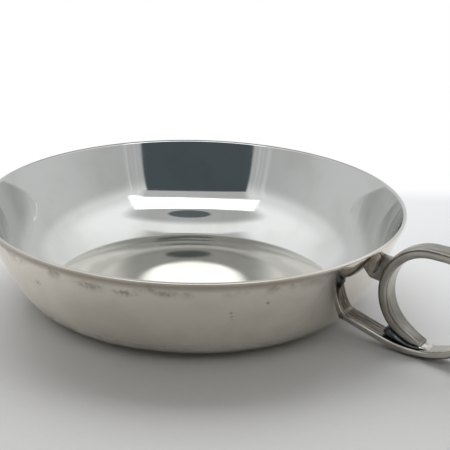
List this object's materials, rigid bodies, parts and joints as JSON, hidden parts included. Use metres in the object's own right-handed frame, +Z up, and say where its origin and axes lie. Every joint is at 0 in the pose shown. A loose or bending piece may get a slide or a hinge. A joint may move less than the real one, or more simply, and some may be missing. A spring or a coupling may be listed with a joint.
{
  "type": "wine taster",
  "caption": "Shallow round silver wine taster with a flat foot, a flared wall and a soldered finger ring bent from one strip.",
  "frame": {"origin": "middle of the flat foot, on the surface that the taster stands on", "axes": "+Z up along the bowl's axis, +X from the bowl's axis towards the finger ring"},
  "size_m": [0.1229, 0.096, 0.0248],
  "materials": {
    "bowl_silver": "polished silver with light tarnish",
    "strip_silver": "worn polished silver",
    "dark_solder": "dull dark silver solder",
    "bright_solder": "bright silver solder"
  },
  "bodies": {
    "root": {"bowl": "bowl_silver", "handle": "strip_silver", "rim_solder": "dark_solder", "tail_solder": "dark_solder", "crotch_solder": "dark_solder", "tip_solder": "bright_solder"}
  },
  "joints": []
}
